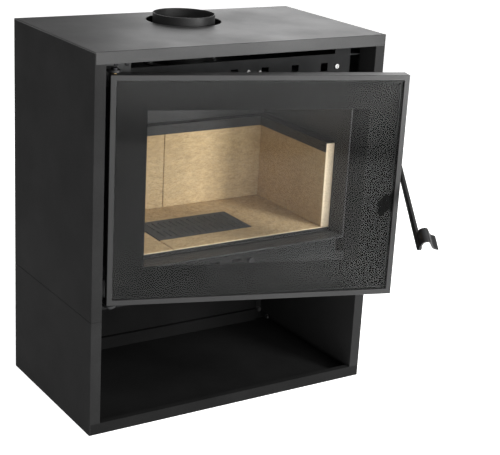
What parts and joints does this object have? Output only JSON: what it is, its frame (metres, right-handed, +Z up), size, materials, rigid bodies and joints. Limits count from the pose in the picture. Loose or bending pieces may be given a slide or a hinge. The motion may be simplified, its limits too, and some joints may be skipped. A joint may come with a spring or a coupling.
{
  "type": "wood burning stove",
  "caption": "Boxy steel wood stove with a wide glazed side-hinged door, a tilting lever latch, a vermiculite-lined firebox, a top flue and an open log store below.",
  "frame": {"origin": "centre of the underside of the log-store base, on the floor", "axes": "+Z up through the flue, +X to the stove's right as seen from the room, +Y back to the wall; the door faces -Y"},
  "size_m": [0.75, 0.7659, 0.887],
  "materials": {
    "air_guides": "matte dark steel",
    "air_knob": "blackened, turned",
    "air_slider": "matte dark steel",
    "air_wash_duct": "matte dark steel",
    "ash_box": "heat-blued dark steel plate",
    "ash_pan": "folded sheet",
    "baffle_plate": "pressed vermiculite board",
    "baffle_supports": "matte dark steel",
    "base_back_panel": "matte anthracite stove paint",
    "base_bolts": "zinc-plated",
    "base_floor": "matte anthracite stove paint",
    "base_left_side": "matte anthracite stove paint",
    "base_rear_rail": "matte anthracite stove paint",
    "base_right_side": "matte anthracite stove paint",
    "brick_back_left": "pressed vermiculite board",
    "brick_back_right": "pressed vermiculite board",
    "brick_floor_left": "pressed vermiculite board",
    "brick_floor_main": "pressed vermiculite board",
    "brick_rails": "matte dark steel",
    "brick_side_left": "pressed vermiculite board",
    "brick_side_right": "pressed vermiculite board",
    "casing_floor": "matte anthracite stove paint",
    "collar_screws": "zinc-plated",
    "door_frame": "satin anthracite stove paint",
    "door_glass": "clear ceramic glass",
    "door_inner_frame": "matte dark steel",
    "firebox_back": "heat-blued dark steel plate",
    "firebox_bottom": "heat-blued dark steel plate",
    "firebox_front_panel": "heat-blued dark steel plate",
    "firebox_left_side": "heat-blued dark steel plate",
    "firebox_right_side": "heat-blued dark steel plate",
    "firebox_top": "heat-blued dark steel plate",
    "flue_collar": "heat-blued dark steel plate",
    "frame_clips": "matte dark steel",
    "glass_border": "black enamel print",
    "glass_gasket": "glass-fibre braid",
    "grate": "as cast",
    "grate_frame": "as cast",
    "handle_lever": "satin black",
    "hinge_bracket_bottom": "matte dark steel",
    "hinge_bracket_top": "matte dark steel",
    "hinge_bushes": "turned",
    "hinge_pins": "blackened steel",
    "hinge_screws": "blackened steel",
    "latch_bracket": "matte dark steel",
    "latch_hook": "matte dark steel",
    "latch_keeper": "matte dark steel",
    "latch_shaft": "zinc-plated",
    "left_side_panel": "matte anthracite stove paint",
    "mouth_frame": "heat-blued dark steel plate",
    "panel_screws": "zinc-plated",
    "panel_ties": "matte dark steel",
    "rear_panel": "matte anthracite stove paint",
    "right_side_panel": "matte anthracite stove paint",
    "rope_gasket": "glass-fibre braid",
    "shaft_nut": "zinc-plated",
    "sill_plate": "matte dark steel",
    "support_rails": "matte dark steel",
    "top_panel": "matte anthracite stove paint"
  },
  "bodies": {
    "stove": {"air_guides": "air_guides", "air_wash_duct": "air_wash_duct", "ash_box": "ash_box", "baffle_plate": "baffle_plate", "baffle_supports": "baffle_supports", "base_back_panel": "base_back_panel", "base_bolts": "base_bolts", "base_floor": "base_floor", "base_left_side": "base_left_side", "base_rear_rail": "base_rear_rail", "base_right_side": "base_right_side", "brick_back_left": "brick_back_left", "brick_back_right": "brick_back_right", "brick_floor_left": "brick_floor_left", "brick_floor_main": "brick_floor_main", "brick_rails": "brick_rails", "brick_side_left": "brick_side_left", "brick_side_right": "brick_side_right", "casing_floor": "casing_floor", "collar_screws": "collar_screws", "firebox_back": "firebox_back", "firebox_bottom": "firebox_bottom", "firebox_front_panel": "firebox_front_panel", "firebox_left_side": "firebox_left_side", "firebox_right_side": "firebox_right_side", "firebox_top": "firebox_top", "flue_collar": "flue_collar", "grate_frame": "grate_frame", "hinge_bracket_bottom": "hinge_bracket_bottom", "hinge_bracket_top": "hinge_bracket_top", "hinge_pins": "hinge_pins", "hinge_screws": "hinge_screws", "latch_keeper": "latch_keeper", "left_side_panel": "left_side_panel", "mouth_frame": "mouth_frame", "panel_screws": "panel_screws", "panel_ties": "panel_ties", "rear_panel": "rear_panel", "right_side_panel": "right_side_panel", "sill_plate": "sill_plate", "support_rails": "support_rails", "top_panel": "top_panel"},
    "door": {"door_frame": "door_frame", "door_glass": "door_glass", "glass_border": "glass_border", "glass_gasket": "glass_gasket", "door_inner_frame": "door_inner_frame", "rope_gasket": "rope_gasket", "frame_clips": "frame_clips", "hinge_bushes": "hinge_bushes", "latch_bracket": "latch_bracket"},
    "lever": {"latch_shaft": "latch_shaft", "shaft_nut": "shaft_nut", "latch_hook": "latch_hook", "handle_lever": "handle_lever"},
    "air_slide_body": {"air_slider": "air_slider", "air_knob": "air_knob"},
    "grate_body": {"grate": "grate"},
    "ash_pan_body": {"ash_pan": "ash_pan"}
  },
  "joints": [
    {"name": "door_swing", "type": "hinge", "parent": "stove", "child": "door", "pos_m": [-0.3193, -0.1896, 0.56], "axis": [0, 0, -1], "range_deg": [-18, 77]},
    {"name": "lever_turn", "type": "hinge", "parent": "door", "child": "lever", "pos_m": [0.31215, -0.3668, 0.61], "axis": [-0.9511, 0.309, 0], "range_deg": [-25, 20]},
    {"name": "air_slide", "type": "slide", "parent": "stove", "child": "air_slide_body", "axis": [1, 0, 0], "range_m": [-0.03, 0]},
    {"name": "grate_lift", "type": "slide", "parent": "stove", "child": "grate_body", "axis": [0, 0, 1], "range_m": [0, 0.15]},
    {"name": "ash_pan_lift", "type": "slide", "parent": "stove", "child": "ash_pan_body", "axis": [0, 0, 1], "range_m": [0, 0.15]}
  ],
  "couplings": [
    {"joint": "ash_pan_lift", "follows": "grate_lift", "ratio": 1}
  ]
}
